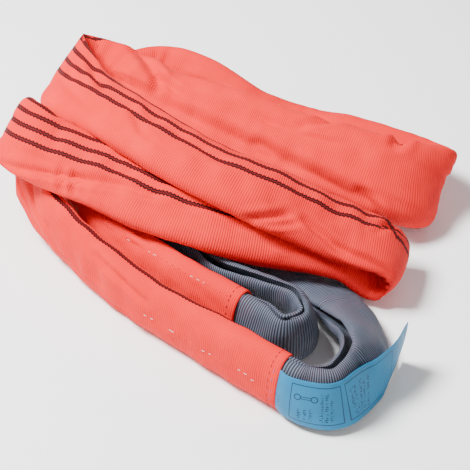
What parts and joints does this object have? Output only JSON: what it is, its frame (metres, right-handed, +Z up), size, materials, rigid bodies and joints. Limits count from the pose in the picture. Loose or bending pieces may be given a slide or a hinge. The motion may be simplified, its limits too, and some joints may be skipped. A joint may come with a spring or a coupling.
{
  "type": "round sling",
  "caption": "Soft lifting sling with a loop at each end, lying folded: a wide striped red cover over two grey padded legs, and a blue label sewn in at one mouth.",
  "frame": {"origin": "on the floor under the middle of the folded bundle's box", "axes": "+Z up, +X along the bundle towards its label end, +Y towards its back"},
  "size_m": [0.5493, 0.4185, 0.1509],
  "materials": {
    "cover_red": "ribbed woven polyester, matte",
    "thread_red": "polyester thread",
    "thread_white": "polyester thread",
    "sleeve_grey": "ribbed woven polyester, matte",
    "thread_grey": "polyester thread",
    "yarn": "polyester filament yarn, slightly shiny",
    "tape": "woven fabric tape",
    "label_blue": "coated woven label, satin",
    "thread_blue": "polyester thread"
  },
  "bodies": {
    "sling": {"body_cover": "cover_red", "hem_stitching_1": "thread_red", "hem_stitching_2": "thread_red", "centre_seam_1": "thread_white", "centre_seam_2": "thread_white", "eye_sleeve_1": "sleeve_grey", "eye_sleeve_2": "sleeve_grey", "leg_sleeve_1": "sleeve_grey", "leg_sleeve_2": "sleeve_grey", "sleeve_joint_thread": "thread_grey", "core_hank": "yarn", "core_tape": "tape", "label_stitching": "thread_blue"},
    "label": {"label": "label_blue"}
  },
  "joints": [
    {"name": "label_flap", "type": "hinge", "parent": "sling", "child": "label", "pos_m": [0.2072, -0.2053, 0.0369], "axis": [-0.07, -0.14, -0.9877], "range_deg": [0, 35], "stiffness_Nm_per_rad": 0.05}
  ]
}
